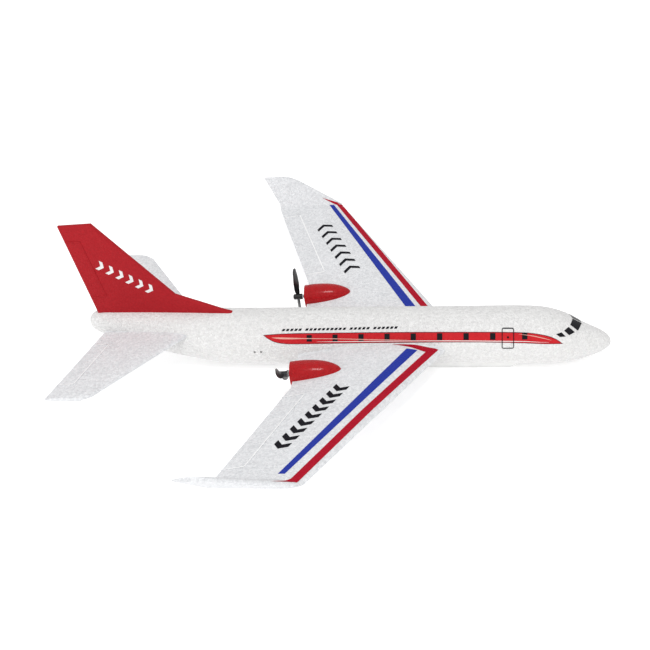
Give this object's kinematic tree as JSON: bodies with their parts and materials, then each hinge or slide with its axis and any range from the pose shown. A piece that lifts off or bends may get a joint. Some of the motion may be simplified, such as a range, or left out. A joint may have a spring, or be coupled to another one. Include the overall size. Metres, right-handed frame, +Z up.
{
  "type": "foam model airplane",
  "caption": "Small electric foam airliner model with swept wings, upturned winglets, pusher propellers in pod nacelles and a hinged belly battery hatch.",
  "frame": {"origin": "on the symmetry plane at the height of the belly rails, below the middle of the overall box", "axes": "+X forward to the nose, +Y to the left wing, +Z up"},
  "size_m": [0.4048, 0.4172, 0.1216],
  "materials": {
    "foam_white": "matte moulded bead foam",
    "foam_grey": "matte moulded bead foam",
    "foam_red": "matte moulded bead foam",
    "shell_red": "glossy moulded shell",
    "black_plastic": "satin moulded",
    "tray_black": "fine texture",
    "white_plastic": "fine texture",
    "motor_steel": "satin",
    "cap_white": "moulded",
    "shaft_steel": "bright",
    "magnet_nickel": "nickel plated",
    "carbon": "pultruded rod",
    "wire_red": "silicone sleeve",
    "wire_black": "silicone sleeve",
    "battery_foil": "laminated foil",
    "guard_amber": "polyimide tape",
    "pad_black": "hook and loop pad",
    "plug_white": "moulded",
    "board_green": "solder mask",
    "chip_black": "epoxy",
    "crystal_metal": "satin",
    "contact_brass": "bright",
    "lamp_clear": "clear lens",
    "ballast_iron": "plain"
  },
  "bodies": {
    "airframe": {"antenna_wire": "wire_black", "battery_cell": "battery_foil", "battery_guard": "guard_amber", "battery_lead_black": "wire_black", "battery_lead_red": "wire_red", "battery_pad": "pad_black", "battery_plug": "plug_white", "battery_tray": "tray_black", "bay_magnet": "magnet_nickel", "belly_frame": "white_plastic", "board_lead_black": "wire_black", "board_lead_red": "wire_red", "board_pad": "pad_black", "charge_pin_front": "contact_brass", "charge_pin_rear": "contact_brass", "charge_socket": "tray_black", "crystal": "crystal_metal", "driver_chip_left": "chip_black", "driver_chip_right": "chip_black", "fuselage_left": "foam_white", "fuselage_right": "foam_white", "hatch_pin": "shaft_steel", "motor_can_left": "motor_steel", "motor_can_right": "motor_steel", "motor_cap_left": "cap_white", "motor_cap_right": "cap_white", "motor_lead_black_left": "wire_black", "motor_lead_black_right": "wire_black", "motor_lead_red_left": "wire_red", "motor_lead_red_right": "wire_red", "motor_mount_left": "black_plastic", "motor_mount_right": "black_plastic", "nacelle_left": "shell_red", "nacelle_right": "shell_red", "nose_ballast": "ballast_iron", "power_switch_body": "tray_black", "radio_chip": "chip_black", "receiver_board": "board_green", "spar_joiner": "tray_black", "spar_left": "carbon", "spar_right": "carbon", "status_lamp": "lamp_clear", "tail_fin": "foam_red", "tailplane": "foam_grey", "wing_left": "foam_grey", "wing_right": "foam_grey"},
    "prop_left": {"propeller_left": "black_plastic", "prop_shaft_left": "shaft_steel"},
    "prop_right": {"propeller_right": "black_plastic", "prop_shaft_right": "shaft_steel"},
    "hatch": {"battery_hatch": "white_plastic", "hatch_magnet": "magnet_nickel"},
    "switch_knob": {"power_switch_knob": "plug_white"}
  },
  "joints": [
    {"name": "left_prop_spin", "type": "hinge", "parent": "airframe", "child": "prop_left", "pos_m": [-0.0375, 0.0538, 0.025], "axis": [0.9976, 0, 0.0698], "continuous": true},
    {"name": "right_prop_spin", "type": "hinge", "parent": "airframe", "child": "prop_right", "pos_m": [-0.0375, -0.0538, 0.025], "axis": [0.9976, 0, 0.0698], "continuous": true},
    {"name": "battery_hatch_hinge", "type": "hinge", "parent": "airframe", "child": "hatch", "pos_m": [0.1235, 0, 0.0015], "axis": [0, -1, 0], "range_deg": [0, 95]},
    {"name": "power_switch_slide", "type": "slide", "parent": "airframe", "child": "switch_knob", "axis": [1, 0, 0], "range_m": [0, 0.003]}
  ]
}
